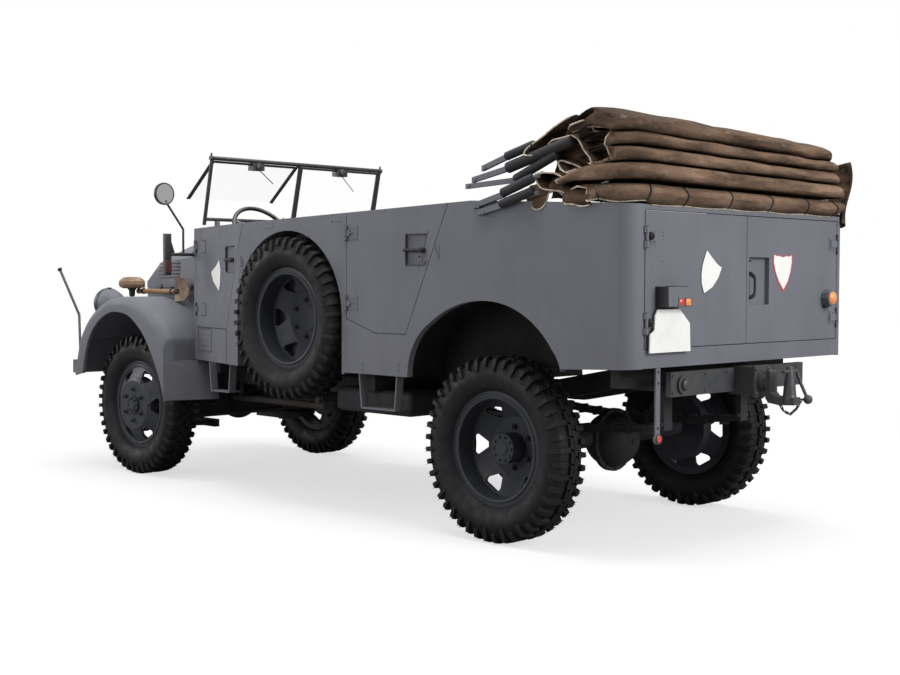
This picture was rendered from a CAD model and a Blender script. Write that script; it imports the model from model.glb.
from math import copysign, cos, exp, pi, radians, sin

import bmesh
import bpy
from mathutils import Matrix, Vector, noise


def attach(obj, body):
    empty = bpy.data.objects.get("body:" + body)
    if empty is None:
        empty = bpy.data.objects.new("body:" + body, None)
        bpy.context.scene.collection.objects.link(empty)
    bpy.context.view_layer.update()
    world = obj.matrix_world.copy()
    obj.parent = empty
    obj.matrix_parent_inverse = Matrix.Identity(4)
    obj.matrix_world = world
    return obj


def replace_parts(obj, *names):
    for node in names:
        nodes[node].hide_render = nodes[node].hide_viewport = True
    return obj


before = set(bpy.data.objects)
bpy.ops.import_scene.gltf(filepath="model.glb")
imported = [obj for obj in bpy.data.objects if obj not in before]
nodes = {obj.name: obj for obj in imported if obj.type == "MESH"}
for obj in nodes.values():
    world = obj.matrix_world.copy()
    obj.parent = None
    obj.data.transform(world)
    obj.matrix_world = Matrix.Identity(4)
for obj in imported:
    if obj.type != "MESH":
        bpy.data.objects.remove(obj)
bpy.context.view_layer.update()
scene = bpy.context.scene

# Working frame in millimetres, as the part was drawn: X forward from the rear axle, Y left, Z up.
SHIFT = 1405.0
UP, FRONT, REAR = (0, 0, 1), (1, 0, 0), (-1, 0, 0)
SIDES = ((1, "l"), (-1, "r"))
HALF_WIDTH = 928
HOOD_FOOT, HOOD_HEIGHT = 1612, 445


def at(x, y, z):
    """Point of the working frame, in metres in the shared frame."""
    return Vector(((x - SHIFT) / 1000, y / 1000, z / 1000))


def ats(*points):
    """Several points of the working frame."""
    return [at(*point) for point in points]


def circle(count, r, turn=0.0):
    """Even points round a circle, from turn steps on."""
    angles = [2 * pi * (i + turn) / count for i in range(count)]
    return [(r * cos(a), r * sin(a)) for a in angles]


# Materials.
def plug(node, sockets):
    """Sets a node's inputs, or links those whose value is another node's output."""
    for key, value in sockets.items():
        socket = node.inputs[key if isinstance(key, int) else key.replace("_", " ")]
        if isinstance(value, bpy.types.NodeSocket):
            node.id_data.links.new(value, socket)
        elif value is not None:
            socket.default_value = value


def add(tree, kind, *values, out=0, **sockets):
    """New node with its inputs in order or by name; returns one of its outputs."""
    node = tree.nodes.new("ShaderNode" + kind)
    plug(node, {**dict(enumerate(values)), **sockets})
    return node.outputs[out]


def new_material(name):
    """New material, its tree and its shader."""
    mat = bpy.data.materials.new(name)
    mat.use_nodes = True
    return mat, mat.node_tree, mat.node_tree.nodes["Principled BSDF"]


def times(tree, a, b):
    """Product of a mask and another mask or a number."""
    product = add(tree, "Math", a, b)
    product.node.operation = "MULTIPLY"
    return product


def material(name, base, layers, bumps=(), low_dirt=None, worn=None, rough=0.5, **fixed):
    """Procedural material.
    layers: (scale, low, high, colour, amount, stretch); bumps: (scale, distance, stretch).
    low_dirt: (low, high, colour, amount) by height; worn: (colour, amount) where the mesh's worn attribute is 1.
    rough: a number, or (scale, low, high)."""
    mat, tree, shader = new_material(name)
    coords = add(tree, "TexCoord", out="Object")

    def mask(scale, low, high, stretch=(1, 1, 1)):
        """Noise turned into a mask from 0 to 1 between low and high."""
        spot = add(tree, "Mapping", Vector=coords, Scale=stretch)
        return add(tree, "MapRange", From_Min=low, From_Max=high,
                   Value=add(tree, "TexNoise", Vector=spot, Scale=scale, Detail=5.0, out="Fac"))

    tints = [(mask(scale, low, high, *stretch), tint, amount) for scale, low, high, tint, amount, *stretch in layers]
    if low_dirt:
        low, high, tint, amount = low_dirt
        height = add(tree, "MapRange", Value=add(tree, "SeparateXYZ", coords, out="Z"), From_Min=high, From_Max=low)
        tints.append((times(tree, height, mask(9, 0.25, 0.75)), tint, amount))
    if worn:
        crest = add(tree, "Attribute", out="Fac")
        crest.node.attribute_name = "worn"
        tints.append((times(tree, crest, mask(7, 0.3, 0.65, (0.8, 0.5, 1.5))), *worn))
    colour = (*base, 1)
    for where, tint, amount in tints:
        colour = add(tree, "MixRGB", Fac=times(tree, where, amount), Color1=colour, Color2=(*tint, 1))
    if isinstance(rough, tuple):
        scale, low, high = rough
        rough = add(tree, "MapRange", Value=mask(scale, 0.3, 0.7), To_Min=low, To_Max=high)
    normal = None
    for scale, distance, *stretch in bumps:
        normal = add(tree, "Bump", Height=mask(scale, 0.2, 0.8, *stretch), Distance=distance, Strength=1.0,
                     Normal=normal)
    plug(shader, dict(Base_Color=colour, Roughness=rough, Normal=normal, **fixed))
    return mat


paint = material(
    "body_paint", (0.130, 0.134, 0.155), [
        (2.2, 0.35, 0.75, (0.156, 0.160, 0.184), 0.6),
        (9.0, 0.45, 0.8, (0.108, 0.111, 0.128), 0.45, (1, 1, 0.25)),
        (60.0, 0.66, 0.78, (0.18, 0.18, 0.18), 0.25),
    ], [(55, 0.0005), (4, 0.003)], (0.55, 1.05, (0.095, 0.090, 0.084), 0.5), rough=(6, 0.52, 0.68),
    Specular_IOR_Level=0.3)
dark_paint = material(
    "chassis_paint", (0.026, 0.027, 0.030), [
        (7, 0.45, 0.75, (0.046, 0.043, 0.040), 0.5), (40, 0.6, 0.75, (0.075, 0.062, 0.052), 0.3),
    ], [(60, 0.0008)], rough=(8, 0.5, 0.75), Specular_IOR_Level=0.25)
under_paint = material(
    "underbody_paint", (0.012, 0.012, 0.013), [
        (6, 0.45, 0.75, (0.022, 0.020, 0.018), 0.6), (38, 0.6, 0.78, (0.040, 0.034, 0.028), 0.3),
    ], [(50, 0.001)], rough=(8, 0.65, 0.85), Specular_IOR_Level=0.12)
black_trim = material("black_trim", (0.018, 0.018, 0.02), [(30, 0.5, 0.8, (0.05, 0.05, 0.05), 0.5)], [(80, 0.0004)],
                      rough=0.45)
rubber = material(
    "tyre_rubber", (0.0085, 0.0085, 0.009), [
        (12, 0.4, 0.75, (0.018, 0.0168, 0.016), 0.6), (90, 0.55, 0.8, (0.036, 0.031, 0.028), 0.3),
    ], [(140, 0.0006)], rough=(20, 0.5, 0.8), Specular_IOR_Level=0.25)
wheel_paint = material(
    "wheel_paint", (0.028, 0.030, 0.037), [
        (6, 0.4, 0.8, (0.042, 0.044, 0.052), 0.6), (45, 0.6, 0.75, (0.022, 0.020, 0.019), 0.5),
    ], [(50, 0.0005)], rough=(9, 0.42, 0.62), Specular_IOR_Level=0.3)
iron = material("bare_iron", (0.060, 0.062, 0.066), [(14, 0.5, 0.75, (0.10, 0.085, 0.07), 0.45)], [(70, 0.0007)],
                rough=(15, 0.4, 0.65), Metallic=0.35)
canvas = material(
    "canvas", (0.047, 0.029, 0.020), [
        (3.0, 0.42, 0.62, (0.130, 0.080, 0.052), 0.9, (0.6, 0.5, 2.6)),
        (4.5, 0.50, 0.64, (0.012, 0.008, 0.007), 0.88, (0.7, 0.45, 2.4)),
        (26, 0.58, 0.72, (0.23, 0.155, 0.11), 0.5, (1, 0.5, 2)),
        (300, 0.35, 0.65, (0.055, 0.042, 0.030), 0.35),
    ], [(420, 0.0009), (60, 0.002, (1, 0.6, 1.6)), (14, 0.006, (1, 0.5, 1.8))], rough=0.92,
    worn=((0.30, 0.195, 0.135), 0.65), Specular_IOR_Level=0.1)
canvas_edge = material("canvas_piping", (0.52, 0.44, 0.34), [(30, 0.45, 0.7, (0.16, 0.12, 0.09), 0.8)],
                       [(200, 0.0005)], rough=0.9)
leather = material("seat_leathercloth", (0.052, 0.040, 0.031), [(10, 0.45, 0.75, (0.085, 0.066, 0.05), 0.6)],
                   [(220, 0.0006), (25, 0.002)], rough=(14, 0.55, 0.72), Specular_IOR_Level=0.2)
wood = material(
    "worn_wood", (0.25, 0.135, 0.06), [
        (18, 0.4, 0.7, (0.36, 0.21, 0.11), 0.7, (0.25, 3, 3)),
        (9, 0.5, 0.75, (0.09, 0.055, 0.035), 0.6, (0.4, 2, 2)),
    ], [(60, 0.001, (0.2, 3, 3))], rough=0.7)
rust = material(
    "rusty_steel", (0.17, 0.105, 0.07), [
        (12, 0.42, 0.7, (0.30, 0.24, 0.19), 0.7), (35, 0.5, 0.72, (0.07, 0.045, 0.035), 0.6),
    ], [(90, 0.001)], rough=0.8)
old_steel = material(
    "old_steel", (0.040, 0.036, 0.034), [
        (12, 0.42, 0.7, (0.075, 0.058, 0.047), 0.7), (35, 0.5, 0.72, (0.022, 0.018, 0.016), 0.6),
    ], [(90, 0.001)], rough=0.75)
tan_cover = material(
    "lamp_cover", (0.20, 0.125, 0.075), [
        (16, 0.42, 0.7, (0.33, 0.235, 0.16), 0.7), (24, 0.55, 0.75, (0.08, 0.05, 0.035), 0.7),
    ], [(110, 0.0012)], rough=0.85)
plate_white = material("plate_white", (0.78, 0.78, 0.76), [(14, 0.5, 0.75, (0.62, 0.61, 0.58), 0.35)],
                       [(40, 0.0003)], rough=0.4)
red_paint = material("shield_red", (0.55, 0.06, 0.06), [(30, 0.5, 0.7, (0.40, 0.05, 0.05), 0.4)])
edge_black = material("shield_edge", (0.03, 0.03, 0.03), [(30, 0.5, 0.7, (0.06, 0.06, 0.06), 0.4)])
red_lens = material("red_lens", (0.45, 0.03, 0.02), [(120, 0.4, 0.6, (0.75, 0.10, 0.06), 0.6)], [(160, 0.001)],
                    rough=0.15, Coat_Weight=0.6)
dull_red = material("marker_red", (0.10, 0.022, 0.018), [(40, 0.4, 0.6, (0.045, 0.02, 0.018), 0.6)], rough=0.4)
orange_lens = material("orange_lens", (0.85, 0.22, 0.04), [(120, 0.4, 0.6, (1.0, 0.42, 0.12), 0.6)], [(160, 0.001)],
                       rough=0.15, Coat_Weight=0.6)
lamp_glass = material("lamp_glass", (0.55, 0.57, 0.56), [(70, 0.4, 0.6, (0.75, 0.76, 0.74), 0.6, (1, 6, 1))],
                      [(60, 0.002, (1, 8, 1))], rough=0.08, Coat_Weight=0.8)
chrome = material("mirror_silver", (0.82, 0.83, 0.84), [(25, 0.5, 0.8, (0.62, 0.63, 0.64), 0.3)], rough=0.04,
                  Metallic=1.0)
grip = material("wheel_grip", (0.012, 0.012, 0.013), [(30, 0.5, 0.8, (0.03, 0.03, 0.03), 0.4)], [(150, 0.0004)],
                rough=0.3)
dial_face = material("dial_face", (0.02, 0.02, 0.02), [(30, 0.5, 0.8, (0.035, 0.035, 0.035), 0.4)], rough=0.25)
mat_grey = material("floor_mat", (0.05, 0.05, 0.05), [(20, 0.4, 0.7, (0.085, 0.08, 0.07), 0.6)],
                    [(90, 0.002, (1, 12, 1))], rough=0.85)
glass, _, glass_shader = new_material("screen_glass")
plug(glass_shader, dict(Base_Color=(0.95, 0.98, 0.97, 1), Roughness=0.02, Alpha=0.05, IOR=1.45))

# Finish of each CAD node, by name or by the start of several names.
finishes = [
    (paint, "quarters side_wells front_sills rear_panel cowl door_ tail_door_ bonnet nose fenders head_lamps "
            "seat_frames hood_irons steps bumper"),
    (dark_paint, "frame gearbox rear_axle front_axle fuel_tank knuckle_"),
    (black_trim, "windscreen_frame steering_column markers"),
    (rubber, "tyre_ spare_tyres"),
    (wheel_paint, "wheel_ spare_wheels"),
    (under_paint, "floor"), (old_steel, "exhaust"), (iron, "tow_hitch engine"), (plate_white, "number_plate"),
    (tan_cover, "hooded_lamp"), (glass, "windscreen_glass"), (grip, "steering_wheel"), (leather, "seat_pads"),
    (canvas, "hood"), (rust, "shovel"),
]
for finish, names in finishes:
    for start in names.split():
        for name, node in nodes.items():
            if name == start or start.endswith("_") and name.startswith(start):
                node.data.materials.clear()
                node.data.materials.append(finish)


# Mesh helpers. Each adds to a bmesh, in metres.
def frame_of(axis):
    """Rotation that turns Z onto axis."""
    return Vector(axis).to_track_quat("Z", "Y").to_matrix()


def lathe(bm, origin, axis, profile, seg=32, close=False):
    """Surface turned round axis through origin from (radius, height) points."""
    turn = frame_of(axis)
    rings = []
    for r, h in profile:
        if r < 1e-6:
            rings.append([bm.verts.new(origin + turn @ Vector((0, 0, h)))])
            continue
        rings.append([bm.verts.new(origin + turn @ Vector((r * cos(a), r * sin(a), h)))
                      for a in (2 * pi * i / seg for i in range(seg))])
    pairs = list(zip(rings, rings[1:]))
    if close:
        pairs.append((rings[-1], rings[0]))
    for a, b in pairs:
        for i in range(seg):
            j = (i + 1) % seg
            corners = [a[i % len(a)], a[j % len(a)], b[j % len(b)], b[i % len(b)]]
            unique = []
            for v in corners:
                if v not in unique:
                    unique.append(v)
            if len(unique) > 2:
                bm.faces.new(unique)


def rod(bm, p, q, r, seg=16):
    """Capped round bar from p to q."""
    length = (q - p).length
    e = min(r * 0.25, length * 0.2)
    lathe(bm, p, q - p, [(0, 0), (r - e, 0), (r, e), (r, length - e), (r - e, length), (0, length)], seg)


def join(bm, a, b):
    """Quads between two rings of vertices."""
    for i in range(len(a)):
        j = (i + 1) % len(a)
        bm.faces.new([a[i], a[j], b[j], b[i]])


def smooth_path(points, steps=6):
    """Points along a smooth curve through the given points."""
    pts = [Vector(p) for p in points]
    pts = [pts[0] * 2 - pts[1]] + pts + [pts[-1] * 2 - pts[-2]]
    out = []
    for a, b, c, d in zip(pts, pts[1:], pts[2:], pts[3:]):
        for i in range(steps):
            t = i / steps
            out.append(0.5 * ((2 * b) + (c - a) * t + (2 * a - 5 * b + 4 * c - d) * t * t
                              + (3 * b - 3 * c + d - a) * t ** 3))
    out.append(pts[-2])
    return out


def tube(bm, points, r, seg=10, smooth=6):
    """Round tube along points, capped at both ends."""
    pts = smooth_path(points, smooth) if smooth else points
    rings = []
    up = None
    for i, p in enumerate(pts):
        tangent = (pts[min(i + 1, len(pts) - 1)] - pts[max(i - 1, 0)]).normalized()
        if up is None:
            up = tangent.orthogonal().normalized()
        up = (up - tangent * up.dot(tangent)).normalized()
        side = tangent.cross(up)
        rings.append([bm.verts.new(p + (up * cos(a) + side * sin(a)) * r)
                      for a in (2 * pi * k / seg for k in range(seg))])
    for a, b in zip(rings, rings[1:]):
        join(bm, a, b)
    bm.faces.new(rings[0][::-1])
    bm.faces.new(rings[-1])


def box(bm, low, high):
    """Box between two corners."""
    for v in bmesh.ops.create_cube(bm, size=1)["verts"]:
        v.co = Vector(((low + high) / 2)[i] + v.co[i] * (high - low)[i] for i in range(3))


def plate(bm, outline, offset):
    """Flat outline of 3-D points made thick along offset."""
    low = [bm.verts.new(p) for p in outline]
    high = [bm.verts.new(p + offset) for p in outline]
    bm.faces.new(low[::-1])
    bm.faces.new(high)
    join(bm, low, high)


def placed(name, bm):
    """Object in the scene with the bmesh as its mesh."""
    mesh = bpy.data.meshes.new(name)
    bm.to_mesh(mesh)
    bm.free()
    obj = bpy.data.objects.new(name, mesh)
    scene.collection.objects.link(obj)
    return obj


def piece(name, finish, bm, body="car", bevel=0.0, smooth=True):
    """Object from a bmesh that rides on a body; its slot follows from the finish unless given."""
    bmesh.ops.recalc_face_normals(bm, faces=bm.faces)
    obj = placed(name, bm)
    mesh = obj.data
    mesh.materials.append(finish)
    if smooth:
        mesh.shade_smooth()
        mesh.set_sharp_from_angle(angle=radians(38))
    if bevel:
        mod = obj.modifiers.new("bevel", "BEVEL")
        mod.width = bevel
        mod.segments = 2
        mod.limit_method = "ANGLE"
        mod.angle_limit = radians(50)
    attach(obj, body)
    return obj


# Tyres with bar grips on both shoulders and grooved blocks round the middle.
TYRE_HALF = 0.104
TYRE_RADIUS = 0.456
LUGS = 44


def tyre(name, body, centre, node):
    """Tyre turned about Y, with its lugs and moulding whiskers."""
    bm = bmesh.new()
    side_profile = [(0.2545, 0.0447), (0.283, 0.0450), (0.286, 0.060), (0.312, 0.086), (0.350, 0.0985),
                    (0.382, 0.0985), (0.388, 0.0940), (0.418, 0.0860), (0.433, 0.0740), (0.438, 0.060)]
    profile = [(r, -y) for r, y in side_profile] + [(0.439, 0.0)] + side_profile[::-1]
    lathe(bm, centre, (0, 1, 0), profile, 120)
    turn = frame_of((0, 1, 0))

    def corners(*spots):
        """Vertices at (radius, width, angle) places of the tyre."""
        return [bm.verts.new(centre + turn @ Vector((r * cos(a), r * sin(a), y))) for r, y, a in spots]

    for i in range(LUGS):
        for side in (-1, 1):
            a = 2 * pi * (i + (0.5 if side > 0 else 0.0)) / LUGS
            wide = 0.0138 / TYRE_RADIUS
            inner, low = (0.030, 0.385) if i % 2 == 0 else (0.052, 0.408)
            path = [(inner, 0.436, TYRE_RADIUS), (0.072, 0.430, TYRE_RADIUS - 0.001),
                    (TYRE_HALF - 0.012, 0.414, 0.4475), (TYRE_HALF - 0.013, low + 0.012, low + 0.016),
                    (TYRE_HALF - 0.009, low - 0.004, low)]
            rings = []
            for k, (y, r_in, r_out) in enumerate(path):
                y_in, y_out = side * y, side * (TYRE_HALF if k >= 3 else y)
                skew = 0.010 * (1 - k / 4)
                w = wide * (1 if k < 4 else 0.6)
                rings.append(corners((r_in, y_in, a - w + skew), (r_out, y_out, a - w * 0.85 + skew),
                                     (r_out, y_out, a + w * 0.85 + skew), (r_in, y_in, a + w + skew)))
            for p, q in zip(rings, rings[1:]):
                join(bm, p, q)
            bm.faces.new(rings[0])
            bm.faces.new(rings[-1][::-1])
            for tip, turn_by in ((0.0045, 0.0), (0.002, 0.035)):
                b = a + turn_by
                *root, end = corners((0.4435, side * (TYRE_HALF - 0.013), b - 0.0022),
                                     (0.4435, side * (TYRE_HALF - 0.013), b + 0.0022),
                                     (0.4465, side * (TYRE_HALF - 0.0145), b), (0.4545, side * (TYRE_HALF + tip), b))
                for k in range(3):
                    bm.faces.new([root[k], root[(k + 1) % 3], end])
        for y0, y1, shift in ((-0.022, -0.002, 0.0), (0.002, 0.022, 0.5)):
            a0 = 2 * pi * (i + shift + 0.06) / LUGS
            a1 = 2 * pi * (i + shift + 0.90) / LUGS
            foot, top = [corners((r, y0, a0), (r, y1, a0), (r, y1, a1), (r, y0, a1))
                         for r in (0.435, TYRE_RADIUS - 0.0015)]
            bm.faces.new(top)
            join(bm, foot, top)
    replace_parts(piece(name, rubber, bm, body), node)


wheel_table = [
    # tag, body, x, y, z, outward, the tyre's node, hub face, hub bolt circle, hub bolts, nut face
    ("rl", "wheel_rl", 0, 802.5, 456, 1, "tyre_rear_left", 5, 58, 10, -88),
    ("rr", "wheel_rr", 0, -802.5, 456, -1, "tyre_rear_right", 5, 58, 10, -88),
    ("fl", "wheel_fl", 3250, 742.5, 456, 1, "tyre_front_left", 112, 46, 8, 100),
    ("fr", "wheel_fr", 3250, -742.5, 456, -1, "tyre_front_right", 112, 46, 8, 100),
    ("spare_l", "car", 1530, 872, 1060, 1, "spare_tyres", -84, 0, 0, -88),
    ("spare_r", "car", 1530, -872, 1060, -1, "spare_tyres", -84, 0, 0, -88),
]
for tag, body, x, y, z, _, node, *_ in wheel_table:
    tyre("tyre_" + tag, body, at(x, y, z), node)

# Folded canvas hood: one sheet whose folded section runs round the rear of the tub.
hood_section = [
    # depth inward from the pile's rear face, height
    (34, 1612), (16, 1630), (6, 1660), (16, 1690), (60, 1704), (180, 1708), (330, 1712), (344, 1722), (330, 1732),
    (180, 1726), (50, 1724), (10, 1730), (-4, 1758), (8, 1786), (60, 1794), (190, 1792), (340, 1790), (352, 1800),
    (340, 1810), (200, 1806), (60, 1806), (18, 1810), (4, 1834), (18, 1858), (70, 1866), (200, 1862), (350, 1856),
    (362, 1866), (350, 1876), (210, 1874), (70, 1876), (26, 1880), (14, 1902), (30, 1924), (80, 1930), (210, 1926),
    (362, 1916), (374, 1926), (362, 1936), (220, 1938), (90, 1936), (42, 1942), (28, 1966), (46, 1996), (110, 2026),
    (200, 2046), (300, 2054), (390, 2040), (455, 2000), (500, 1930), (530, 1840), (552, 1740), (556, 1668),
]
left_ends = [
    # height in the pile, where the sheet's front edge lies on the left side
    (1612, -640), (1690, -600), (1712, -470), (1790, -455), (1806, -640), (1818, -738), (1925, -735), (1938, -700),
    (1950, -560), (1966, -500), (2000, -512), (2030, -560), (2054, -636), (2100, -650),
]


def between(table, value):
    """Straight interpolation in a table of (place, amount)."""
    for (a, low), (b, high) in zip(table, table[1:]):
        if value <= b:
            return low + (high - low) * max(0.0, value - a) / (b - a)
    return table[-1][1]


def hood_point(u, depth, height, k):
    """Point of the pile: u runs from the left front end round the rear to the right front end."""
    left = u < 0.5
    v = u if left else 1 - u
    sign = 1 if left else -1
    rise = (height - HOOD_FOOT) / HOOD_HEIGHT
    side_y = 938 - 0.22 * depth - (0 if left else 120 * rise)
    x_rear = -905 + depth
    radius = max(24, 105 - 0.14 * depth)
    ragged = 12 * sin(k * 0.55) + 8 * sin(k * 0.21 + 1.3)
    front = between(left_ends, height) + ragged if left else -260 + 2.2 * ragged
    if v < 0.30:
        x = front + (x_rear + radius - front) * (v / 0.30)
        y = side_y
    elif v < 0.36:
        a = pi / 2 * (v - 0.30) / 0.06
        x = x_rear + radius - radius * sin(a)
        y = side_y - radius + radius * cos(a)
    else:
        x = x_rear
        y = (side_y - radius) * (1 - (v - 0.36) / 0.14)
    across = sign * y / 930
    z = height - rise * 26 * (1 - across)
    ahead_of_bow = max(0.0, x + 610) / 400
    z -= rise * 150 * ahead_of_bow ** 1.1
    loose = max(0.0, 1 - v / 0.26) ** 1.3
    y -= loose * rise * 40 * (1 + sin(k * 0.32 + (0 if left else 1.1)))
    y += loose * 16 * sin(x / 38 + k * 0.4)
    z += loose * (rise + 0.15) * (26 * sin(k * 0.26 + 0.6) + 12 * sin(x / 45 + k * 0.23))
    if height < 1700:
        tie = abs(sin(pi * (sign * y - 200) / 345)) if v > 0.36 else abs(sin(pi * x / 230))
        puff = (height - HOOD_FOOT) / 90
        if v > 0.36:
            x -= 16 * tie * sin(pi * min(1, puff))
            z += 5 * (1 - tie) * (1 - puff)
        else:
            y += 9 * tie * sin(pi * min(1, puff))
            z += 16 * (1 - tie) * (1 - puff) + 12 * (1 - puff)
    spot = Vector((x / 130, sign * y / 260, z / 45))
    wave = noise.noise(spot) * 13 + noise.noise(spot * 2.7) * 6
    if height < 1640:
        wave *= 0.25
    if v < 0.30:
        y += wave * 0.6
    else:
        x -= wave
    z += noise.noise(Vector((x / 210, sign * y / 210, k * 0.15))) * 10 * rise
    return at(x, sign * y, z)


def grid_mesh(bm, rows):
    """Quads between rows of points."""
    verts = [[bm.verts.new(p) for p in row] for row in rows]
    for a, b in zip(verts, verts[1:]):
        for i in range(len(a) - 1):
            bm.faces.new([a[i], a[i + 1], b[i + 1], b[i]])


def solidify(obj):
    """Gives a sheet of canvas its thickness."""
    mod = obj.modifiers.new("thickness", "SOLIDIFY")
    mod.thickness = 0.003
    mod.offset = 0.0


section = [(p.x, p.y) for p in smooth_path([(depth, height, 0) for depth, height in hood_section], 3)]
hood_steps = 190
hood_rows = [[hood_point(i / hood_steps, d, z, k) for i in range(hood_steps + 1)] for k, (d, z) in enumerate(section)]
# Loose left edge of the sheet: lines of (x, y, z), and the steps by which each one runs into the pile.
mouth_line = [(-453, 850, 2029), (-357, 880, 1967), (-258, 905, 1901), (-233, 915, 1862), (-259, 915, 1852),
              (-311, 905, 1860), (-345, 895, 1883), (-361, 885, 1915), (-408, 880, 1922), (-470, 885, 1938),
              (-504, 890, 1931), (-565, 900, 1881), (-627, 905, 1805), (-615, 900, 1780), (-558, 890, 1780),
              (-484, 880, 1813), (-430, 880, 1824), (-417, 890, 1810), (-468, 905, 1776), (-571, 915, 1734),
              (-623, 915, 1736), (-625, 905, 1758), (-578, 895, 1772), (-455, 895, 1777), (-404, 885, 1819),
              (-366, 880, 1843)]
lower_line = [(-472, 915, 1734), (-443, 920, 1760), (-333, 930, 1772), (-315, 932, 1767), (-322, 932, 1734),
              (-351, 930, 1704), (-398, 925, 1685), (-460, 920, 1687), (-489, 915, 1673), (-539, 915, 1658),
              (-600, 910, 1668), (-722, 905, 1716)]
skirt_line = [(-243, 915, 1647), (-295, 925, 1616), (-339, 930, 1608), (-368, 930, 1616), (-381, 925, 1655),
              (-389, 915, 1677), (-431, 905, 1685), (-460, 905, 1668), (-463, 915, 1645), (-502, 930, 1623),
              (-580, 935, 1612), (-645, 935, 1616)]
across_steps = [(0, 0, 0), (-8, -40, 5), (-18, -90, 0), (-34, -160, -8), (-60, -270, 0), (-90, -400, -8)]
upward_steps = [(0, 0, 0), (0, 2, 18), (-4, -4, 42), (-8, -24, 66), (-12, -70, 84)]
loose_rows = []
for line, steps in ((mouth_line, across_steps), (lower_line, across_steps), (skirt_line, upward_steps)):
    edge = smooth_path(line, 5)
    loose_rows.append([[at(p.x + dx + 5 * sin(p.z / 14 + k), p.y + dy, p.z + dz + 5 * sin(p.x / 23 + 2 * k))
                        for p in edge] for k, (dx, dy, dz) in enumerate(steps)])
bm = bmesh.new()
grid_mesh(bm, hood_rows)
for rows in loose_rows:
    grid_mesh(bm, rows)
hood = piece("hood_canvas", canvas, bm)
worn = hood.data.attributes.new("worn", "FLOAT", "POINT")
for k, (depth, height) in enumerate(section):
    amount = max(0.0, 1 - depth / 45)
    for i in range(hood_steps + 1):
        worn.data[k * (hood_steps + 1) + i].value = amount
solidify(hood)
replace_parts(hood, "hood")

# Pale piping along the canvas edges, and the ties that hold the skirt.
bm = bmesh.new()
ends = [[row[i] for row in hood_rows] for i in (0, -1)]
for line in [hood_rows[0], *ends, *[rows[0] for rows in loose_rows]]:
    tube(bm, line[::2] + ([line[-1]] if len(line) % 2 == 0 else []), 0.0042, 6, 0)
piping = piece("hood_piping", canvas_edge, bm)
bm = bmesh.new()
for y in (846, 559, 200, -147, -498, -771):
    v = 0.36 + 0.14 * (1 - min(1, abs(y) / 834))
    tube(bm, [hood_point(v if y > 0 else 1 - v, d, z, k) - Vector((0.005, 0, 0))
              for k, (d, z) in enumerate(section) if z < 1706], 0.0045, 6, 0)
for x, side in ((-690, 1), (-690, -1), (-480, -1)):
    tube(bm, ats((x, side * 912, 1620), (x, side * 940, 1645), (x, side * 952, 1668), (x + 4, side * 944, 1698)),
         0.004, 6)
ties = piece("hood_ties", black_trim, bm)

# Bows: the thick ends of the irons, which run into the folds.
bow_table = [
    # start x and z, end x and z, distance from the centre plane, radius
    (-92, 1864, -272, 1911, 888, 0.021),
    (-100, 1809, -505, 1913, 888, 0.027),
    (-150, 1753, -415, 1859, 888, 0.022),
    (-126, 1686, -318, 1748, 952, 0.023),
    (-116, 1634, -320, 1690, 952, 0.021),
]
for side, tag in SIDES:
    bm = bmesh.new()
    for x0, z0, x1, z1, y, r in bow_table:
        rod(bm, at(x0, side * y, z0), at(x1, side * y, z1), r, 20)
    piece("hood_bows_" + tag, dark_paint, bm)

# Loose end of the sheet that hangs over the right rear corner.
flap_rows = []
for i in range(25):
    t = i / 24
    row = []
    for j in range(19):
        s = j / 18
        z = 1890 - 320 * t + 14 * sin(3 * s + 2 * t)
        y = -868 - 95 * s - 18 * sin(4 * t + s) - 30 * t * s
        x = -896 + 150 * s * s - 16 * sin(pi * s) - 14 * sin(5 * t + 2 * s)
        row.append(at(x, y, z))
    flap_rows.append(row)
bm = bmesh.new()
grid_mesh(bm, flap_rows)
flap = piece("hood_flap", canvas, bm)
solidify(flap)

# Fittings on the body.
SIDE_BEND = 1980
SIDE_SLOPE = (HALF_WIDTH - 713) / (2741 - SIDE_BEND)
SIDE_OUT = Vector((SIDE_SLOPE, 1, 0)).normalized()


def on_side(x, z, out=0.0, side=1):
    """Point on the outer side wall, out millimetres off it."""
    if x <= SIDE_BEND:
        return at(x, side * (HALF_WIDTH + out), z)
    y = HALF_WIDTH - (x - SIDE_BEND) * SIDE_SLOPE
    return at(x + SIDE_OUT.x * out, side * (y + SIDE_OUT.y * out), z)


def on_tail(y, z, out=0.0):
    """Point on the tail doors' outer face."""
    return at(-870 - out, y, z)


def bolt(bm, place, axis, r, h, seg=6):
    """Bolt head."""
    lathe(bm, place, axis, [(0, 0), (r, 0), (r, h * 0.75), (r * 0.75, h), (0, h)], seg)


def badge(name, body, outline, out_axis, rim_finish, inset):
    """Shield on a surface: a rim plate with a smaller white plate on it."""
    middle = sum(outline, Vector()) / len(outline)
    bm = bmesh.new()
    plate(bm, outline, out_axis * 0.0012)
    piece(name + "_rim", rim_finish, bm, body, smooth=False)
    bm = bmesh.new()
    plate(bm, [middle + (p - middle) * inset + out_axis * 0.0008 for p in outline], out_axis * 0.0012)
    piece(name, plate_white, bm, body, smooth=False)


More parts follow.
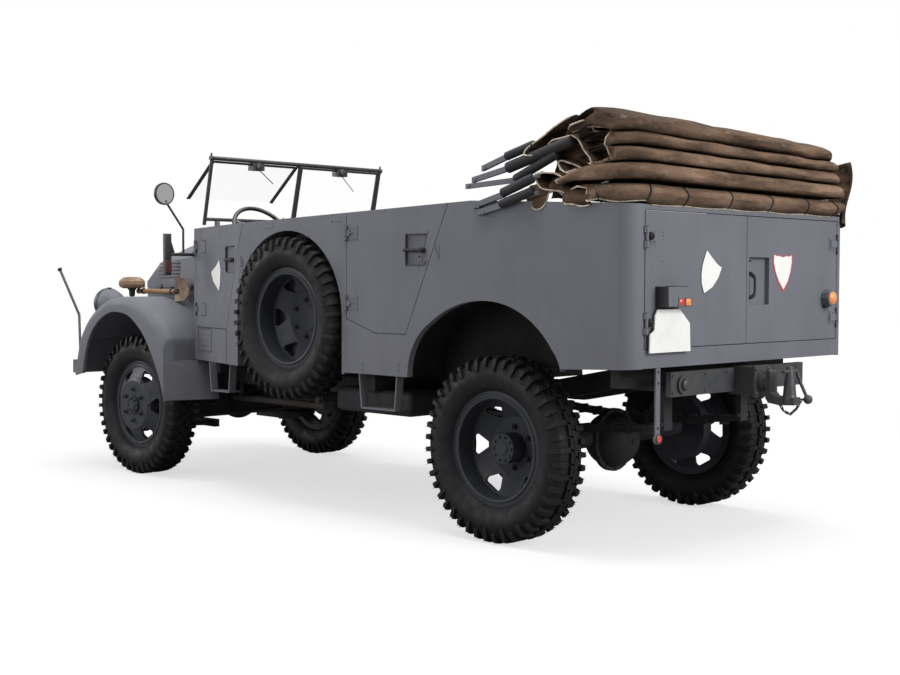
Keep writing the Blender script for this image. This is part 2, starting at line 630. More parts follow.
left_shield = [(362, 1425), (320, 1392), (272, 1358), (233, 1340), (262, 1290), (312, 1244), (382, 1214),
               (404, 1262), (406, 1308), (396, 1356)]
badge("shield_left", "tail_l", [on_tail(y, z, 0.4) for y, z in left_shield], Vector(REAR), edge_black, 0.95)
right_shield = [(-212, 1412), (-238, 1404), (-262, 1406), (-300, 1398), (-338, 1406), (-364, 1402), (-389, 1410),
                (-392, 1372), (-378, 1318), (-352, 1268), (-309, 1222), (-262, 1268), (-228, 1318), (-208, 1372)]
badge("shield_right", "tail_r", [on_tail(y, z, 0.4) for y, z in right_shield], Vector(REAR), red_paint, 0.90)
for side, tag, body in ((1, "l", "front_door_l"), (-1, "r", "front_door_r")):
    door_shield = [(2292, 1402), (2345, 1362), (2440, 1322), (2400, 1262), (2295, 1199), (2272, 1262), (2266, 1334)]
    badge("shield_door_" + tag, body, [on_side(x, z, 0.4, side) for x, z in door_shield],
          Vector((SIDE_OUT.x, side * SIDE_OUT.y, 0)), edge_black, 0.93)

# Tail door hinges with their leaves, rubber buffers, handle, lamps and screws.
for side, tag in SIDES:
    for z in (1470, 1088):
        bm = bmesh.new()
        box(bm, on_tail(side * 820, z - 34, 3.5), on_tail(side * 752, z + 34, -0.5))
        for dz in (-24, 24):
            for dy in (796, 766):
                bolt(bm, on_tail(side * dy, z + dz, 3.5), REAR, 0.0045, 0.003)
        piece(f"tail_leaf_{tag}{z}", paint, bm, "tail_" + tag, bevel=0.001)
        if side > 0:
            bm = bmesh.new()
            lathe(bm, on_tail(812, z + 3, 3), REAR,
                  [(0, 0), (0.017, 0), (0.018, 0.010), (0.016, 0.022), (0.009, 0.028), (0, 0.029)], 20)
            piece(f"tail_buffer_{z}", rubber, bm, "tail_" + tag)
        bm = bmesh.new()
        for dz in (-48, -18, 18, 48):
            lathe(bm, at(-879, side * 830, z + dz - 1), UP,
                  [(0.0086, 0), (0.0092, 0.0006), (0.0092, 0.0014), (0.0086, 0.002)], 16)
        piece(f"tail_knuckle_{tag}{z}", black_trim, bm)
bm = bmesh.new()
box(bm, on_tail(752.6, 1161.4, 71), on_tail(576.4, 1250.6, -1))
piece("lamp_box", paint, bm, "tail_l", bevel=0.006)
bm = bmesh.new()
box(bm, on_tail(755, 1160, 72), on_tail(752, 1252))
box(bm, on_tail(700, 1250, 60), on_tail(590, 1254, 8))
piece("lamp_box_end", black_trim, bm, "tail_l", bevel=0.004)
z = 1183
for tag, y, glass_mat in (("red", 655, red_lens), ("orange", 603, orange_lens)):
    bm = bmesh.new()
    box(bm, on_tail(y + 21, z - 15, 72), on_tail(y - 21, z + 15, 69))
    lathe(bm, on_tail(y, z, 72), REAR, [(0, 0), (0.0145, 0), (0.0145, 0.001), (0.010, 0.004), (0, 0.005)], 28)
    piece("lens_" + tag, glass_mat, bm, "tail_l")
    bm = bmesh.new()
    for z_low in (z - 18, z + 15):
        box(bm, on_tail(y + 24, z_low, 74), on_tail(y - 24, z_low + 3, 69))
    for y_low in (y - 24, y + 21):
        box(bm, on_tail(y_low + 3, z - 18, 74), on_tail(y_low, z + 18, 69))
    piece("lens_rim_" + tag, paint, bm, "tail_l")
bm = bmesh.new()
for y, z, r, h in ((560, 1208, 0.006, 0.008), (562, 1176, 0.006, 0.008), (704, 1493, 0.003, 0.0015),
                   (697, 1363, 0.003, 0.0015), (700, 1478, 0.003, 0.0015)):
    bolt(bm, on_tail(y, z), REAR, r, h, 12)
piece("tail_screws_l", black_trim, bm, "tail_l")
bm = bmesh.new()
lathe(bm, on_tail(-718, 1189, -2), REAR,
      [(0, 0), (0.043, 0), (0.043, 0.040), (0.040, 0.046), (0.034, 0.046), (0.034, 0.040), (0, 0.040)], 36)
box(bm, on_tail(-700, 1140, 14), on_tail(-736, 1160, -1))
piece("drum_lamp", black_trim, bm, "tail_r")
bm = bmesh.new()
lathe(bm, on_tail(-718, 1189, 38), REAR,
      [(0, 0), (0.0345, 0), (0.0345, 0.006), (0.028, 0.016), (0.014, 0.021), (0, 0.022)], 36)
piece("drum_lens", orange_lens, bm, "tail_r")
bm = bmesh.new()
tube(bm, [on_tail(*spot) for spot in ((-22, 1318, -18), (-24, 1312, 2), (-36, 1296, 8), (-38, 1262, 9), (-38, 1232, 9),
                                      (-32, 1204, 8), (-22, 1196, -2), (-20, 1192, -18))], 0.0065)
bolt(bm, on_tail(-40, 1374, -22), REAR, 0.005, 0.006)
piece("tail_handle", black_trim, bm, "tail_r")

# Side door fittings: hinge leaves, handles, latches and the edges of their recesses.
def seams(bm, side, out, r, *lines):
    """Thin lines on the outer side wall, each through its (x, z) points."""
    for line in lines:
        tube(bm, [on_side(x, z, out, side) for x, z in line], r, 6, 0)


for side, tag in SIDES:
    rear, front = "rear_door_" + tag, "front_door_" + tag
    out = Vector((0, side, 0))
    slant = Vector((SIDE_OUT.x, side * SIDE_OUT.y, 0))

    def wall(x, z, off=0.0):
        """Point on this side's wall."""
        return on_side(x, z, off, side)

    bm = bmesh.new()
    for z in (1525, 1153):
        tube(bm, [wall(934, z + 42, 0.5), wall(934, z - 42, 0.5)], 0.003, 8, 0)
        box(bm, wall(938, z - 36, 1.5), wall(1004, z + 36, -0.5))
        for dz in (-26, 0, 26):
            bolt(bm, wall(962, z + dz, 1), out, 0.005, 0.0035)
        box(bm, wall(972, z - 3, 9), wall(1000, z + 3))
    piece("rear_door_leaf_" + tag, paint, bm, rear, bevel=0.0008)
    bm = bmesh.new()
    for z in (1525, 1153):
        for dz in (-39, -16, 16, 39):
            lathe(bm, wall(1019, z + dz - 1, 9), UP,
                  [(0.0088, 0), (0.0096, 0.0006), (0.0096, 0.0014), (0.0088, 0.002)], 16)
    piece("rear_hinge_lines_" + tag, black_trim, bm)
    bm = bmesh.new()
    rod(bm, wall(572, 1429, 4), wall(452, 1427, 5), 0.0085)
    lathe(bm, wall(444, 1427, -10), out, [(0, 0), (0.013, 0), (0.014, 0.020), (0.010, 0.026), (0, 0.027)], 18)
    bolt(bm, wall(461, 1394, -1), out, 0.005, 0.004, 12)
    piece("rear_door_handle_" + tag, dark_paint, bm, rear)
    bm = bmesh.new()
    seams(bm, side, 0.6, 0.0022, ((408, 1496), (420, 1509), (548, 1509), (562, 1496), (562, 1365), (550, 1351),
                                  (428, 1351), (404, 1372)))
    seams(bm, side, 0.3, 0.0014, ((392, 1525), (412, 1500), (440, 1372), (470, 1340)))
    piece("rear_recess_edge_" + tag, black_trim, bm, rear)
    bm = bmesh.new()
    rod(bm, wall(352, 1452, 2), wall(340, 1420, 2), 0.005)
    rod(bm, wall(340, 1420, 2), wall(326, 1388, 2), 0.005)
    box(bm, wall(330, 1448, 3), wall(318, 1392, -0.5))
    piece("rear_latch_" + tag, paint, bm, bevel=0.0008)
    bm = bmesh.new()
    seams(bm, side, 0.6, 0.0022,
          ((2612, 1520), (2530, 1516), (2530, 1444), (2612, 1440)),
          ((2612, 1130), (2530, 1126), (2530, 1054), (2612, 1050)),
          ((2045, 1470), (2060, 1476), (2180, 1472), (2190, 1460), (2190, 1328), (2180, 1318), (2070, 1320)))
    piece("front_recess_edge_" + tag, black_trim, bm, front)
    bm = bmesh.new()
    rod(bm, wall(2196, 1394, 4), wall(2092, 1392, 5), 0.0085)
    lathe(bm, wall(2086, 1392, -8), slant, [(0, 0), (0.013, 0), (0.014, 0.018), (0.010, 0.024), (0, 0.025)], 18)
    piece("front_door_handle_" + tag, dark_paint, bm, front)
    bm = bmesh.new()
    rod(bm, wall(1962, 1412, 2), wall(1950, 1352, 2), 0.005)
    rod(bm, wall(1946, 1408, 2), wall(1936, 1356, 2), 0.004)
    piece("front_latch_" + tag, paint, bm)
    bm = bmesh.new()
    seams(bm, side, -0.4, 0.0015, ((1655, 1613), (1655, 1564)), ((1655, 1566), (1720, 1566)),
          ((2180, 974), (2180, 776)), ((2420, 976), (2700, 974)))
    seams(bm, side, 0.2, 0.0022, ((2430, 968), (2664, 968), (2664, 832), (2430, 830), (2430, 968)))
    seams(bm, side, 0.1, 0.0011, *[((2446, z), (2648, z)) for z in (934, 900, 866)])
    piece("side_seams_" + tag, black_trim, bm)
    bm = bmesh.new()
    for x, z in ((895, 837), (895, 806), (616, 845), (616, 813), (1085, 1590), (1111, 1591), (1140, 1592)):
        bolt(bm, wall(x, z), out, 0.006, 0.004)
    for x, z in ((300, 1640), (720, 1633), (1140, 1626), (1560, 1619), (1800, 1600)):
        bolt(bm, wall(x, z), out, 0.0045, 0.003, 12)
    piece("side_screws_" + tag, paint, bm)

# Fenders: a smooth skin over the outline, its outer edge rounded, down to the lip of the wheel arch.
FENDER_TOP = [(2652, 517), (2692, 770), (2780, 945), (2910, 1050), (3070, 1125), (3250, 1160), (3460, 1140),
              (3660, 1040), (3800, 880), (3880, 640)]
FENDER_LIP = [(2764, 526), (2810, 638), (2875, 760), (2945, 864), (3025, 950), (3180, 1044), (3370, 1062),
              (3520, 1012), (3635, 915), (3705, 790), (3745, 640)]
NOSE_LINE = [(2600, 568), (2760, 560), (3300, 488), (3640, 425), (3790, 385), (3950, 200)]
ROUND = 60
SKIN = 1.5


def evenly(points, count):
    """Points at even steps along a smooth curve, as (x, z)."""
    fine = smooth_path([(x, 0, z) for x, z in points], 12)
    lengths = [0.0]
    for a, b in zip(fine, fine[1:]):
        lengths.append(lengths[-1] + (b - a).length)
    out = []
    for i in range(count + 1):
        want = lengths[-1] * i / count
        k = max(j for j in range(len(fine) - 1) if lengths[j] <= want)
        share = min(1.0, (want - lengths[k]) / (lengths[k + 1] - lengths[k]))
        spot = fine[k].lerp(fine[k + 1], share)
        out.append((spot.x, spot.z))
    return out


def clear_of_door(x, y, z):
    """Keeps the skin ahead of the fender's slanted rear face and of the door's swing."""
    x = max(x, 2640 + (y - 600) / 328 * 131 - SKIN)
    return max(x, 2747) if z > 765 else x


def fender_skin(side):
    """Rows of the skin along the outline, from the nose's side to the turned-in lip."""
    tops, lips = evenly(FENDER_TOP, 90), evenly(FENDER_LIP, 90)
    rows = []
    for i, ((x, z), (lip_x, lip_z)) in enumerate(zip(tops, lips)):
        (xa, za), (xb, zb) = tops[max(0, i - 1)], tops[min(90, i + 1)]
        normal = Vector((-(zb - za), 0, xb - xa)).normalized()
        inner = max(between(NOSE_LINE, x) + 2, 592 if x < 2750 else 0)
        row = []
        for k in range(8):
            y = inner + (HALF_WIDTH - ROUND - inner) * k / 7
            row.append((x + normal.x * SKIN, y, z + normal.z * SKIN))
        for k in range(1, 9):
            a = pi / 2 * k / 8
            sink = ROUND * (1 - cos(a)) - SKIN
            y = HALF_WIDTH - ROUND + (ROUND + SKIN) * sin(a)
            row.append((x - normal.x * sink, y, z - normal.z * sink))
        edge_x, edge_z = x - normal.x * ROUND, z - normal.z * ROUND
        for k in (1, 2, 3):
            row.append((edge_x + (lip_x - edge_x) * k / 3, HALF_WIDTH + SKIN,
                        edge_z + (lip_z - edge_z) * k / 3))
        row.append((lip_x, 910, lip_z))
        rows.append([at(clear_of_door(px, py, pz), side * py, pz) for px, py, pz in row])
    return rows


for side, tag in SIDES:
    bm = bmesh.new()
    grid_mesh(bm, fender_skin(side))
    piece("fender_skin_" + tag, paint, bm)

# Louvres, bonnet hem and catches.
def bonnet_half(x):
    """Half the width of the bonnet's straight sides at x."""
    return 590 - (x - 2760) / 540 * 90 if x < 3300 else 500 - (x - 3300) / 340 * 75


for side, tag in SIDES:
    bm = bmesh.new()
    for i in range(5):
        z = 1382 - 23 * i
        x0, x1 = 3178 + 3 * i, 3536 + 9 * i
        y0, y1 = side * (bonnet_half(x0) + 1.2), side * (bonnet_half(x1) + 1.2)
        plate(bm, [at(x0 + 8, y0, z + 6), at(x1 - 4, y1, z + 6), at(x1 + 6, y1, z - 6), at(x0, y0, z - 6)],
              Vector((0, side * 0.0016, 0)))
    piece("louvres_" + tag, black_trim, bm, "bonnet_lid", smooth=False)
    bm = bmesh.new()
    for x in (3000, 3500):
        y = side * (bonnet_half(x) + 4)
        rod(bm, at(x, y, 1242), at(x, y + side * 4, 1200), 0.006)
        rod(bm, at(x - 14, y, 1226), at(x + 14, y, 1226), 0.005)
    piece("bonnet_catches_" + tag, black_trim, bm)

# Wheels: nuts, hub bolts, lock ring and valve.
for tag, body, x, y, z, s, _, hub_face, hub_circle, hub_bolts, nut_face in wheel_table:
    bm = bmesh.new()
    axis = (0, s, 0)
    for dx, dz in circle(hub_bolts, hub_circle):
        bolt(bm, at(x + dx, y + s * hub_face, z + dz), axis, 0.0085, 0.009)
    for dx, dz in circle(6, 102, 0.5):
        nut = at(x + dx, y + s * nut_face, z + dz)
        bolt(bm, nut, axis, 0.0145, 0.018)
        lathe(bm, nut, axis, [(0, 0), (0.006, 0), (0.006, 0.028), (0, 0.029)], 10)
    if hub_bolts:
        lathe(bm, at(x, y + s * hub_face, z), axis, [(0, 0), (0.034, 0), (0.032, 0.005), (0, 0.006)], 28)
    lathe(bm, at(x, y + s * 51, z), axis,
          [(0.2465, 0), (0.258, 0.001), (0.262, 0.006), (0.256, 0.010), (0.2465, 0.008)], 72, True)
    lathe(bm, at(x, y + s * 52, z), axis, [(0.276, 0), (0.2835, 0.002), (0.284, 0.006), (0.277, 0.007)], 72, True)
    piece("trim_" + tag, wheel_paint, bm, body)

# Lamps: rims, lenses and reflector of the strap.
for side, tag in SIDES:
    y = side * 620
    bm = bmesh.new()
    lathe(bm, at(3903, y, 1105), FRONT,
          [(0.1035, 0), (0.1075, 0.004), (0.1080, 0.030), (0.1045, 0.038), (0.0970, 0.039), (0.0970, 0.030)], 48)
    box(bm, at(3895, y - 9, 1208), at(3925, y + 9, 1217))
    piece("head_rim_" + tag, black_trim, bm)
    bm = bmesh.new()
    lathe(bm, at(3938.5, y, 1105), FRONT,
          [(0.0985, 0), (0.0960, 0.005), (0.070, 0.013), (0.036, 0.018), (0, 0.0195)], 48)
    piece("head_lens_" + tag, lamp_glass, bm)
    bm = bmesh.new()
    lathe(bm, at(3848, y, 960), UP, [(0.015, 0), (0.021, 0.004), (0.021, 0.020), (0.015, 0.024)], 20)
    rod(bm, at(3836, y, 1000), at(3818, y, 1034), 0.006)
    piece("head_stalk_" + tag, black_trim, bm)
bm = bmesh.new()
lathe(bm, at(3560, 655, 1214), UP, [(0.0605, 0), (0.0640, 0.001), (0.0640, 0.006), (0.0605, 0.007)], 36, True)
lathe(bm, at(3560, 655, 1160), UP, [(0.012, 0), (0.019, 0.003), (0.021, 0.040), (0.034, 0.0555)], 24)
for dx, dy in circle(6, 52):
    bolt(bm, at(3560 + dx, 655 + dy, 1287), UP, 0.004, 0.003)
piece("hooded_trim", dark_paint, bm)
bm = bmesh.new()
lathe(bm, at(-871, 722, 569), REAR, [(0, 0.001), (0.0185, 0.001), (0.0185, 0.004), (0.012, 0.007), (0, 0.008)], 24)
piece("strap_reflector", red_lens, bm)
bm = bmesh.new()
lathe(bm, at(-871, 722, 569), REAR, [(0.0185, 0), (0.0225, 0), (0.0225, 0.005), (0.0185, 0.006)], 24, True)
for z in (870, 820, 618):
    bolt(bm, at(-866, 722, z), REAR, 0.006, 0.004)
piece("strap_trim", black_trim, bm)

# Shovel's handle with its clamps, side boxes and mirror.
bm = bmesh.new()
rod(bm, at(3122, 600, 1195), at(3561, 600, 1195), 0.0162)
rod(bm, at(3561, 600, 1195), at(3566, 600, 1195), 0.019)
piece("shovel_handle", wood, bm)
bm = bmesh.new()
rod(bm, at(3078, 600, 1195), at(3124, 600, 1195), 0.0185)
for x in (3160, 3500):
    lathe(bm, at(x - 12, 600, 1195), FRONT, [(0.0165, 0), (0.0195, 0.002), (0.0195, 0.022), (0.0165, 0.024)], 20, True)
    rod(bm, at(x, 600, 1212), at(x, 600, 1226), 0.005)
    box(bm, at(x - 16, 592, 1224), at(x + 16, 608, 1228))
piece("shovel_clamps", dark_paint, bm)
for side, tag in SIDES:
    y = side * 905
    bm = bmesh.new()
    box(bm, at(2736.5, y - 23, 1560), at(2767.5, y + 23, 1301))
    piece("marker_case_" + tag, black_trim, bm, bevel=0.005)
    bm = bmesh.new()
    box(bm, at(2734.5, y - 18, 1318), at(2737.5, y + 18, 1392))
    piece("marker_lower_" + tag, dull_red, bm, bevel=0.001)
bm = bmesh.new()
lathe(bm, at(2743.5, 925, 1806), REAR, [(0, 0.0008), (0.0615, 0.0006), (0.0615, 0.0004)], 48)
piece("mirror_silver", chrome, bm)
bm = bmesh.new()
lathe(bm, at(2744.5, 925, 1806), REAR, [(0.0605, 0), (0.0690, 0), (0.0700, -0.006), (0.0680, 0.003), (0.0605, 0.003)],
      48, True)
lathe(bm, at(2764.5, 925, 1806), FRONT, [(0.067, 0), (0.052, 0.012), (0.02, 0.018), (0, 0.019)], 40)
lathe(bm, at(2752, 915, 1748), (0, 0.18, 1), [(0.0072, 0), (0.011, 0.002), (0.011, 0.020), (0.0072, 0.022)], 16)
piece("mirror_rim", black_trim, bm)

# Windscreen: seals round the panes, pins, wiper motors with their arms, and the clamps at its foot.
def on_pane(p, q, t, y):
    """Point on a pane's middle surface."""
    (xa, za), (xb, zb) = p, q
    return at(xa + (xb - xa) * t, y, za + (zb - za) * t)


PANES = (((2573, 2012), (2846, 1790), 26, 682), ((2565, 2013), (2645, 1668), -687, -13))
bm = bmesh.new()
for p, q, y0, y1 in PANES:
    for ends in (((0.01, y0 + 3), (0.01, y1 - 3)), ((0.01, y0 + 4), (0.99, y0 + 4)), ((0.01, y1 - 4), (0.99, y1 - 4))):
        tube(bm, [on_pane(p, q, t, y) for t, y in ends], 0.0075, 8, 0)
piece("pane_seals", black_trim, bm)
bm = bmesh.new()
for y in (-705, 705):
    rod(bm, at(2560, y, 2030), at(2560, y, 2062), 0.006)
    lathe(bm, at(2560, y, 2030), (0, copysign(1, y), 0),
          [(0.0135, -0.012), (0.0155, -0.010), (0.0155, 0.010), (0, 0.012)], 20)
for y in (-350, 350):
    lathe(bm, at(2556, y, 1995), REAR,
          [(0.026, -0.012), (0.027, 0.012), (0.022, 0.022), (0.006, 0.026), (0, 0.027)], 24)
    rod(bm, at(2600, y, 1990), at(2620, y, 1984), 0.006)
rod(bm, at(2585, 325, 1984), at(2612, 186, 1898), 0.0030, 8)
rod(bm, at(2584, -372, 1982), at(2610, -505, 1880), 0.0030, 8)
for y in (-250, 250):
    box(bm, at(2632, y - 26, 1640), at(2668, y + 26, 1662))
piece("screen_fittings", black_trim, bm, bevel=0.0006)
bm = bmesh.new()
for y in (-600, 600):
    lathe(bm, at(2650, y, 1604), UP, [(0.034, 0), (0.034, 0.005), (0.018, 0.010), (0.0165, 0.040)], 24)
    for dx, dy in circle(4, 26, 0.5):
        bolt(bm, at(2650 + dx, y + dy, 1609), UP, 0.004, 0.003)
piece("screen_feet", paint, bm)

# Inside: instruments, levers, pedals and mats.
DIALS = ((470, 1540, 0.050), (350, 1543, 0.036), (580, 1535, 0.036), (250, 1550, 0.026))
bm = bmesh.new()
for y, z, r in DIALS:
    lathe(bm, at(2541, y, z), REAR, [(r, 0), (r + 0.005, 0.001), (r + 0.005, 0.008), (r, 0.009), (r, 0.004)], 36)
piece("dial_rims", chrome, bm)
bm = bmesh.new()
for y, z, r in DIALS:
    lathe(bm, at(2541, y, z), REAR, [(r, 0), (r, 0.003), (0, 0.0032)], 36)
piece("dial_faces", dial_face, bm)
bm = bmesh.new()
for y in (150, 110, 70):
    lathe(bm, at(2541, y, 1530), REAR, [(0.009, 0), (0.009, 0.010), (0.012, 0.012), (0.012, 0.020), (0, 0.021)], 16)
tube(bm, ats((2539, -560, 1560), (2505, -552, 1560), (2505, -240, 1566), (2539, -232, 1566)), 0.009)
tube(bm, ats((2539, -590, 1545), (2539, -190, 1552), (2539, -190, 1488), (2539, -590, 1482), (2539, -590, 1545)),
     0.0018, 6, 0)
piece("dash_fittings", black_trim, bm)
bm = bmesh.new()
for x, y, top, lean in ((2330, -40, 1230, -90), (2400, 45, 1130, -60), (2400, 105, 1120, -50),
                        (2300, 160, 1190, -120)):
    tube(bm, ats((x, y, 800), (x + lean * 0.25, y, 960), (x + lean, y, top)), 0.0085)
    lathe(bm, at(x + lean, y, top - 4), UP,
          [(0.008, 0), (0.019, 0.010), (0.022, 0.022), (0.017, 0.036), (0, 0.042)], 20)
    lathe(bm, at(x, y, 800), UP, [(0.045, 0), (0.038, 0.012), (0.018, 0.045), (0.011, 0.062)], 24)
piece("levers", black_trim, bm)
bm = bmesh.new()
for y in (350, 450, 540):
    tube(bm, ats((2718, y, 1010), (2680, y, 985), (2640, y, 925)), 0.009)
    box(bm, at(2626, y - 32, 896), at(2640, y + 32, 956))
piece("pedals", dark_paint, bm, bevel=0.002)
bm = bmesh.new()
box(bm, at(1850, -560, 800.5), at(2560, 560, 805))
box(bm, at(1060, -600, 800.5), at(1740, 600, 805))
for x in range(1080, 1752, 42):
    box(bm, at(x, -590, 804), at(x + 14, 590, 808))
piece("floor_mats", mat_grey, bm, bevel=0.0015)
bm = bmesh.new()
for y in range(-600, 601, 100):
    box(bm, at(-440, y - 11, 900), at(536, y + 11, 905))
piece("load_ribs", under_paint, bm, bevel=0.002)
for side, tag in SIDES:
    bm = bmesh.new()
    tube(bm, ats((330, side * 886, 1480), (330, side * 860, 1480), (730, side * 860, 1480), (730, side * 886, 1480)),
         0.008)
    lathe(bm, at(440, side * 889, 1430), (0, -side, 0),
          [(0.017, 0), (0.017, 0.006), (0.008, 0.008), (0.008, 0.03), (0, 0.031)], 18)
    rod(bm, at(440, side * 866, 1430), at(500, side * 862, 1405), 0.006)
    piece("inner_handle_" + tag, black_trim, bm, "rear_door_" + tag)

# Chassis: hitch bolts, socket cap, differential bolts and spring clamps.
bm = bmesh.new()
for y in (-54, 54):
    for z in (740, 857):
        bolt(bm, at(-950, y, z), REAR, 0.009, 0.007)
for y in (-510, -300, -120, 120, 300, 560):
    for z in (765, 842):
        bolt(bm, at(-830, y, z), REAR, 0.008, 0.006)
lathe(bm, at(-841, 486, 800), REAR, [(0, 0.001), (0.026, 0.001), (0.026, 0.014), (0.020, 0.018), (0, 0.018)], 8)
piece("hitch_bolts", iron, bm, bevel=0.0008)
bm = bmesh.new()
for dy, dz in circle(12, 156):
    bolt(bm, at(-67, dy, 440 + dz), REAR, 0.008, 0.007)
lathe(bm, at(-188, 0, 440), REAR, [(0, 0.001), (0.018, 0.001), (0.018, 0.006), (0, 0.007)], 6)
for y in (-330, 330):
    for x in (-46, 46):
        for dy in (-37, 37):
            rod(bm, at(x, y + dy, 462), at(x, y + dy, 572), 0.007, 10)
            bolt(bm, at(x, y + dy, 572), UP, 0.011, 0.009)
    for x in (-625, 625):
        rod(bm, at(x, y - 46, 588), at(x, y + 46, 588), 0.013)
    for k, reach in enumerate((520, 420, 320, 220, 130)):
        z = 503 + reach / 14
        for x in (-reach, reach):
            box(bm, at(x - 8, y - 34, z - 8 + 2 * k), at(x + 8, y + 34, z + 44))
piece("rear_axle_fittings", dark_paint, bm, bevel=0.0008)
bm = bmesh.new()
rod(bm, at(3208, 372, 412), at(2868, 372, 484), 0.012)
rod(bm, at(3066, -560, 372), at(3066, 560, 372), 0.012)
piece("steering_rods", dark_paint, bm)
bm = bmesh.new()
for y in (-760, -330, 330, 760):
    for z in (650, 700):
        bolt(bm, at(3988, y, z), FRONT, 0.010, 0.004)
for side in (-1, 1):
    lathe(bm, at(3950, side * 972, 1332), (0, side * 0.42, 0.9),
          [(0.009, 0), (0.015, 0.003), (0.015, 0.018), (0, 0.022)], 18)
    y = side * 250
    tube(bm, ats((3982, y, 632), (3982, y, 600), (3956, y, 600), (3956, y, 632)), 0.007)
piece("bumper_fittings", dark_paint, bm)

# Seats: crowned cushions swollen by a cloth simulation, then sewn channels and piping.
def soft_block(name, size, cap):
    """Block that swells as a filled cover, in its own axes round its middle."""
    bm = bmesh.new()
    bmesh.ops.create_cube(bm, size=1)
    for v in bm.verts:
        v.co = Vector(v.co[i] * (size[i] - 2 * cap * 0.75) for i in range(3))
    bmesh.ops.bevel(bm, geom=bm.edges[:], offset=0.022, segments=3, profile=0.6, affect="EDGES")
    obj = placed(name, bm)
    remesh = obj.modifiers.new("remesh", "REMESH")
    remesh.mode = "VOXEL"
    remesh.voxel_size = 0.014
    obj = settled(obj)
    start = [v.co.copy() for v in obj.data.vertices]
    cloth = obj.modifiers.new("cloth", "CLOTH")
    cloth.settings.quality = 4
    cloth.settings.use_pressure = True
    cloth.settings.uniform_pressure_force = 4.0
    cloth.settings.effector_weights.gravity = 0.0
    for step in range(1, 21):
        scene.frame_set(step)
    obj = settled(obj)
    scene.frame_set(1)
    for v, was in zip(obj.data.vertices, start):
        move = v.co - was
        if move.length > cap:
            v.co = was + move.normalized() * cap
    return obj


def settled(obj):
    """The object with its modifiers' result as its own mesh."""
    depsgraph = bpy.context.evaluated_depsgraph_get()
    mesh = bpy.data.meshes.new_from_object(obj.evaluated_get(depsgraph))
    obj.modifiers.clear()
    obj.data = mesh
    return obj


def cushion(name, middle, size, tilt, channels, cap=0.020):
    """Seat cushion or back with channels sewn across Y, its soft face towards +Z before the tilt."""
    obj = soft_block(name, size, cap)
    mod = obj.modifiers.new("subdivision", "SUBSURF")
    mod.levels = mod.render_levels = 1
    obj = settled(obj)
    half_y, half_z = size[1] / 2, size[2] / 2
    for v in obj.data.vertices:
        x, y, z = v.co
        sink = 0.0
        for k in range(1, channels):
            line = -half_y + 2 * half_y * k / channels
            sink += exp(-((y - line) / 0.009) ** 2)
        v.co.z -= 0.010 * sink * max(0.0, min(1.0, (z + half_z * 0.2) / half_z))
        v.co.z = max(v.co.z, -half_z)
    obj.data.transform(Matrix.Translation(middle) @ Matrix.Rotation(tilt, 4, "Y"))
    obj.data.materials.clear()
    obj.data.materials.append(leather)
    obj.data.shade_smooth()
    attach(obj, "car")
    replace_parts(obj, "seat_pads")


back_tilt = radians(82)
seat_table = [
    # name, middle x, y, z, size along, across, thick, tilt, channels
    ("front_seat_l", 2075, 385, 1120, 0.43, 0.45, 0.120, 0.0, 5),
    ("front_seat_r", 2075, -385, 1120, 0.43, 0.45, 0.120, 0.0, 5),
    ("front_back_l", 1800, 385, 1400, 0.44, 0.45, 0.110, back_tilt, 5),
    ("front_back_r", 1800, -385, 1400, 0.44, 0.45, 0.110, back_tilt, 5),
    ("bench_seat", 840, 0, 1110, 0.38, 1.34, 0.120, 0.0, 13),
    ("bench_back", 600, 0, 1400, 0.44, 1.34, 0.100, back_tilt, 13),
]
for name, x, y, z, along, across, thick, tilt, channels in seat_table:
    cushion(name, at(x, y, z), (along, across, thick), tilt, channels)

# Camera at the photo's viewpoint.
camera_data = bpy.data.cameras.new("camera")
camera = bpy.data.objects.new("camera", camera_data)
scene.collection.objects.link(camera)
yaw, pitch, roll = -0.787208, -0.042991, 0.00267
ahead = Vector((cos(yaw) * cos(pitch), sin(yaw) * cos(pitch), sin(pitch)))
right = Vector((sin(yaw), -cos(yaw), 0))
up = right.cross(ahead)
right, up = right * cos(roll) + up * sin(roll), up * cos(roll) - right * sin(roll)
camera.matrix_world = Matrix.Translation((-5.8847, 5.6664, 1.2823)) @ Matrix(
    (right, up, -ahead)).transposed().to_4x4()
camera_data.lens = 54.35
camera_data.sensor_width = 36
camera_data.clip_end = 100
scene.camera = camera

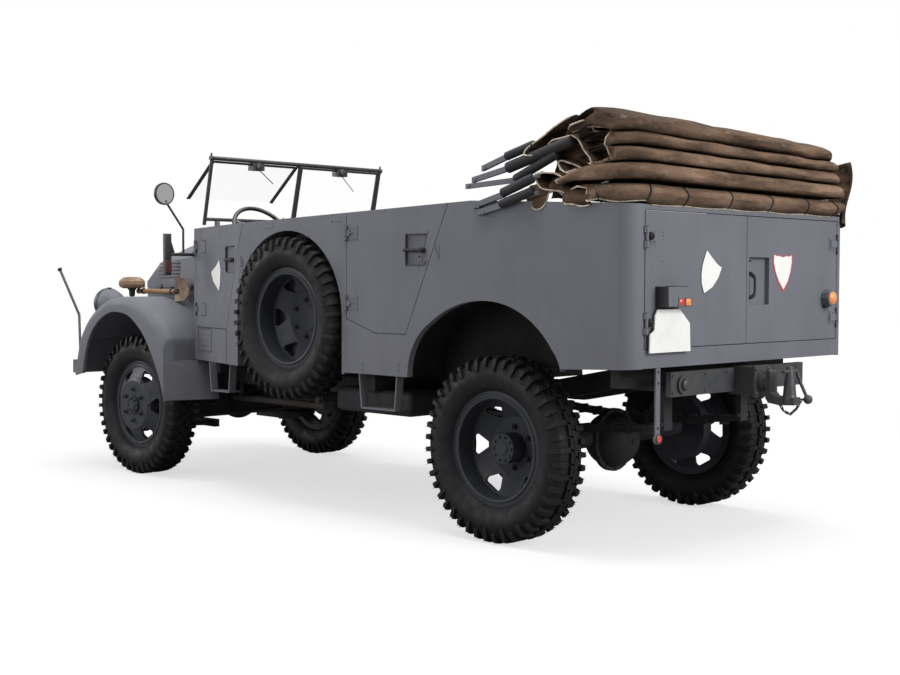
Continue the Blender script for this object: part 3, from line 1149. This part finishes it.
# Studio: pale floor that fades into the white surroundings, and soft lamps.
floor_mat, tree, shader = new_material("studio_floor")
camera_ray = add(tree, "LightPath", out="Is Camera Ray")
plug(shader, dict(Roughness=0.9, Base_Color=add(tree, "MixRGB", camera_ray, (0.22, 0.22, 0.22, 1),
                                                (0.72, 0.72, 0.72, 1))))
distance = add(tree, "VectorMath", add(tree, "TexCoord", out="Object"), out=1)
distance.node.operation = "LENGTH"
fade = add(tree, "MapRange", Value=distance, From_Min=3.2, From_Max=7.5, To_Min=0.62, To_Max=1.0)
blend = add(tree, "MixShader", times(tree, camera_ray, fade), shader.outputs["BSDF"],
            add(tree, "Emission", Strength=1.05))
plug(tree.nodes["Material Output"], dict(Surface=blend))
floor_mesh = bpy.data.meshes.new("studio_floor")
floor_mesh.from_pydata([(-30, -30, 0), (30, -30, 0), (30, 30, 0), (-30, 30, 0)], [], [(0, 1, 2, 3)])
floor_mesh.materials.append(floor_mat)
studio = bpy.data.objects.new("studio_floor", floor_mesh)
scene.collection.objects.link(studio)

world = bpy.data.worlds.new("studio")
scene.world = world
world.use_nodes = True
tree = world.node_tree
tree.nodes.clear()
soft, seen = [add(tree, "Background", (1, 1, 1, 1), strength) for strength in (0.42, 1.0)]
sky = add(tree, "MixShader", add(tree, "LightPath", out="Is Camera Ray"), soft, seen)
plug(tree.nodes.new("ShaderNodeOutputWorld"), dict(Surface=sky))

lamp_table = [
    # name, place, target, size, power
    ("top_light", (-0.5, 0, 6.0), (0, 0, 0), 6, 600),
    ("rear_light", (-9, -0.5, 4.2), (-2, 0, 1), 4, 540),
    ("side_light", (1, 9, 3.2), (0, 0, 1), 4, 195),
    ("front_light", (8, 4, 3.5), (1.5, 0, 1), 3, 200),
]
for name, place, target, size, power in lamp_table:
    data = bpy.data.lights.new(name, "AREA")
    data.size = size
    data.energy = power
    lamp = bpy.data.objects.new(name, data)
    scene.collection.objects.link(lamp)
    lamp.location = place
    lamp.rotation_euler = (Vector(target) - Vector(place)).to_track_quat("-Z", "Y").to_euler()
scene.view_settings.view_transform = "Standard"
scene.view_settings.look = "None"
